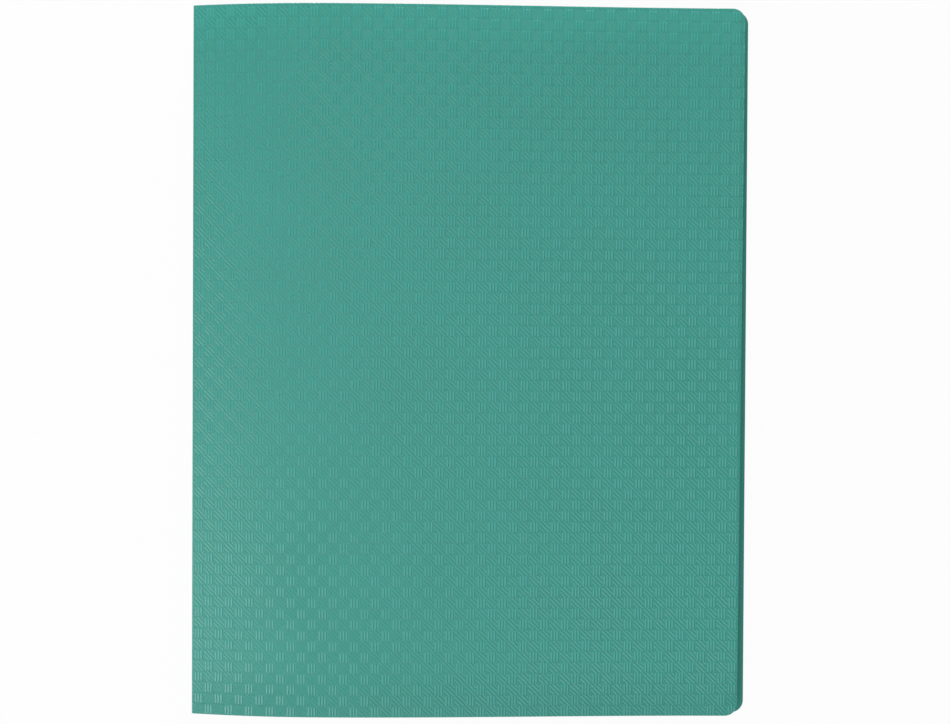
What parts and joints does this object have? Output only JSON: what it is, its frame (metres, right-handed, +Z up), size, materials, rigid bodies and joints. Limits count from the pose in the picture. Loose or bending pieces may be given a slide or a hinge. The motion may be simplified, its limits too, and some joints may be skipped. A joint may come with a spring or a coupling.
{
  "type": "display book",
  "caption": "A4 display book with a creased, embossed plastic cover that opens at its spine and clear pockets, open at the head, carried by a strip inside the spine.",
  "frame": {"origin": "on the surface that the closed book lies on, under the middle of its box", "axes": "+Y towards the head, where the pockets open; +X towards the fore-edge, with the spine at -X; +Z up, out of the front cover"},
  "size_m": [0.2434, 0.31, 0.0132],
  "materials": {
    "cover_plastic": "embossed polypropylene, satin sea green",
    "strip_plastic": "milky polypropylene",
    "pocket_film": "clear soft polypropylene film"
  },
  "bodies": {
    "back_cover": {"back_cover": "cover_plastic"},
    "spine": {"spine_panel": "cover_plastic", "binding_strip": "strip_plastic"},
    "front_cover": {"front_cover": "cover_plastic"},
    "pocket_01": {"pocket_01_back_film": "pocket_film", "pocket_01_front_film": "pocket_film"},
    "pocket_02": {"pocket_02_back_film": "pocket_film", "pocket_02_front_film": "pocket_film"},
    "pocket_03": {"pocket_03_back_film": "pocket_film", "pocket_03_front_film": "pocket_film"},
    "pocket_04": {"pocket_04_back_film": "pocket_film", "pocket_04_front_film": "pocket_film"},
    "pocket_05": {"pocket_05_back_film": "pocket_film", "pocket_05_front_film": "pocket_film"},
    "pocket_06": {"pocket_06_back_film": "pocket_film", "pocket_06_front_film": "pocket_film"},
    "pocket_07": {"pocket_07_back_film": "pocket_film", "pocket_07_front_film": "pocket_film"},
    "pocket_08": {"pocket_08_back_film": "pocket_film", "pocket_08_front_film": "pocket_film"},
    "pocket_09": {"pocket_09_back_film": "pocket_film", "pocket_09_front_film": "pocket_film"},
    "pocket_10": {"pocket_10_back_film": "pocket_film", "pocket_10_front_film": "pocket_film"}
  },
  "joints": [
    {"name": "spine_fold", "type": "hinge", "parent": "back_cover", "child": "spine", "pos_m": [-0.12175, 0, 0.0012], "axis": [0, -1, 0], "range_deg": [0, 90]},
    {"name": "front_cover_fold", "type": "hinge", "parent": "spine", "child": "front_cover", "pos_m": [-0.12175, 0, 0.0068], "axis": [0, -1, 0], "range_deg": [0, 81]},
    {"name": "pocket_01_turn", "type": "hinge", "parent": "spine", "child": "pocket_01", "pos_m": [-0.12045, 0, 0.00643], "axis": [0, -1, 0], "range_deg": [0, 66]},
    {"name": "pocket_02_turn", "type": "hinge", "parent": "spine", "child": "pocket_02", "pos_m": [-0.12045, 0, 0.00589], "axis": [0, -1, 0], "range_deg": [0, 64]},
    {"name": "pocket_03_turn", "type": "hinge", "parent": "spine", "child": "pocket_03", "pos_m": [-0.12045, 0, 0.00535], "axis": [0, -1, 0], "range_deg": [0, 62]},
    {"name": "pocket_04_turn", "type": "hinge", "parent": "spine", "child": "pocket_04", "pos_m": [-0.12045, 0, 0.00481], "axis": [0, -1, 0], "range_deg": [0, 60]},
    {"name": "pocket_05_turn", "type": "hinge", "parent": "spine", "child": "pocket_05", "pos_m": [-0.12045, 0, 0.00427], "axis": [0, -1, 0], "range_deg": [0, 58]},
    {"name": "pocket_06_turn", "type": "hinge", "parent": "spine", "child": "pocket_06", "pos_m": [-0.12045, 0, 0.00373], "axis": [0, -1, 0], "range_deg": [-66, 0]},
    {"name": "pocket_07_turn", "type": "hinge", "parent": "spine", "child": "pocket_07", "pos_m": [-0.12045, 0, 0.00319], "axis": [0, -1, 0], "range_deg": [-68, 0]},
    {"name": "pocket_08_turn", "type": "hinge", "parent": "spine", "child": "pocket_08", "pos_m": [-0.12045, 0, 0.00265], "axis": [0, -1, 0], "range_deg": [-70, 0]},
    {"name": "pocket_09_turn", "type": "hinge", "parent": "spine", "child": "pocket_09", "pos_m": [-0.12045, 0, 0.00211], "axis": [0, -1, 0], "range_deg": [-72, 0]},
    {"name": "pocket_10_turn", "type": "hinge", "parent": "spine", "child": "pocket_10", "pos_m": [-0.12045, 0, 0.00157], "axis": [0, -1, 0], "range_deg": [-74, 0]}
  ],
  "couplings": [
    {"joint": "pocket_01_turn", "follows": "front_cover_fold", "ratio": 0.814},
    {"joint": "pocket_02_turn", "follows": "front_cover_fold", "ratio": 0.79},
    {"joint": "pocket_03_turn", "follows": "front_cover_fold", "ratio": 0.765},
    {"joint": "pocket_04_turn", "follows": "front_cover_fold", "ratio": 0.74},
    {"joint": "pocket_05_turn", "follows": "front_cover_fold", "ratio": 0.716},
    {"joint": "pocket_06_turn", "follows": "spine_fold", "ratio": -0.733},
    {"joint": "pocket_07_turn", "follows": "spine_fold", "ratio": -0.755},
    {"joint": "pocket_08_turn", "follows": "spine_fold", "ratio": -0.777},
    {"joint": "pocket_09_turn", "follows": "spine_fold", "ratio": -0.8},
    {"joint": "pocket_10_turn", "follows": "spine_fold", "ratio": -0.822}
  ]
}
